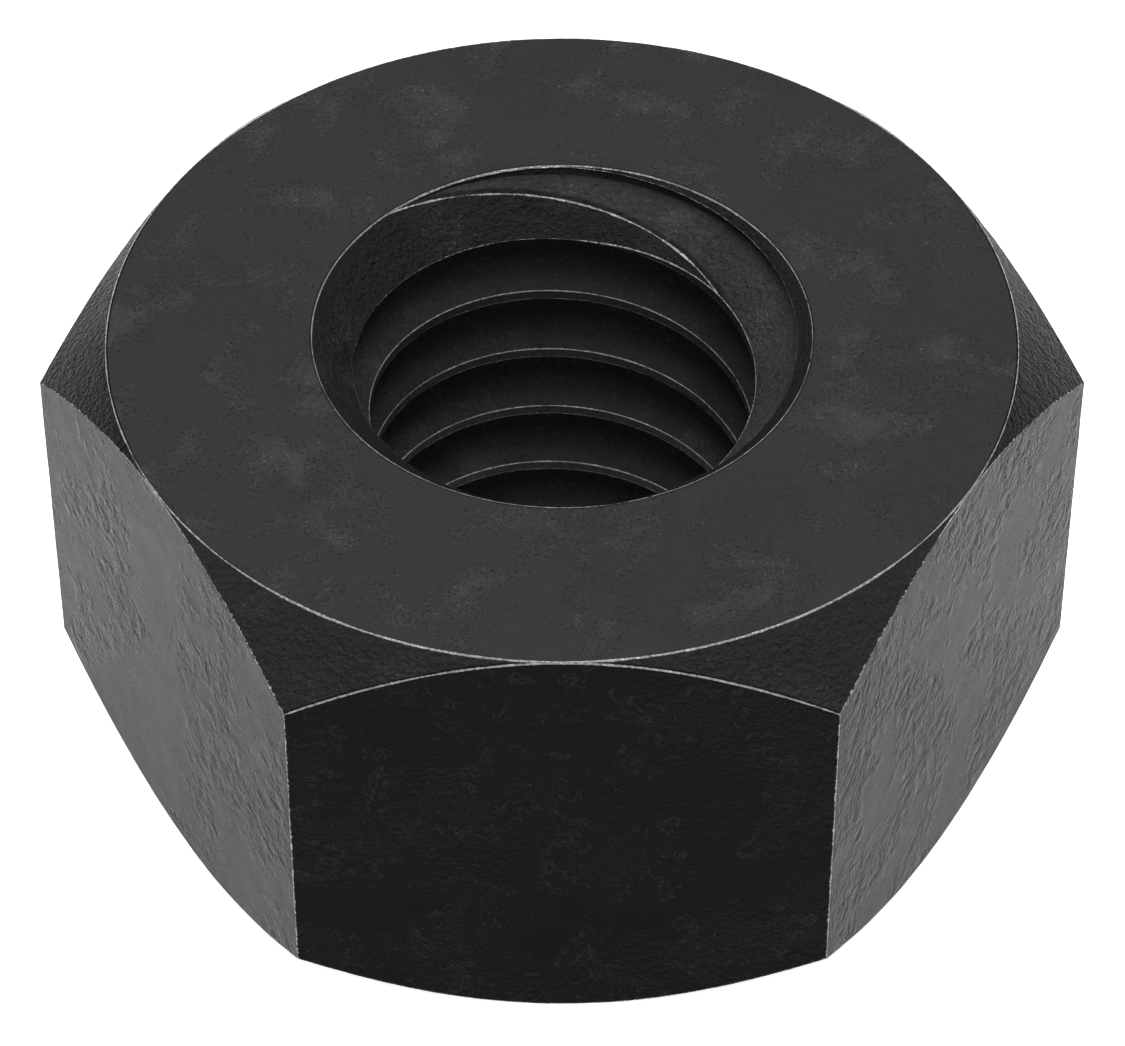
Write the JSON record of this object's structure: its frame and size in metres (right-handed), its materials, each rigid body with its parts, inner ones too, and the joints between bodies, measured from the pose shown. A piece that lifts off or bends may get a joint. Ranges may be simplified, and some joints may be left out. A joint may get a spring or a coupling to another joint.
{
  "type": "hex nut",
  "caption": "Heavy hex nut with chamfered corners, two flat bearing faces and a countersunk right-hand threaded bore, in black-finished forged steel.",
  "frame": {"origin": "centre of the lower bearing face, on the thread's axis", "axes": "+Z along the thread's axis, up; X through two opposite corners; Y square to two opposite flats"},
  "size_m": [0.0202, 0.0174, 0.0096],
  "materials": {
    "black_steel": "forged steel with a thin black oxide finish, dull and cloudy, worn bright along the edges"
  },
  "bodies": {
    "root": {"hex_nut": "black_steel"}
  },
  "joints": []
}
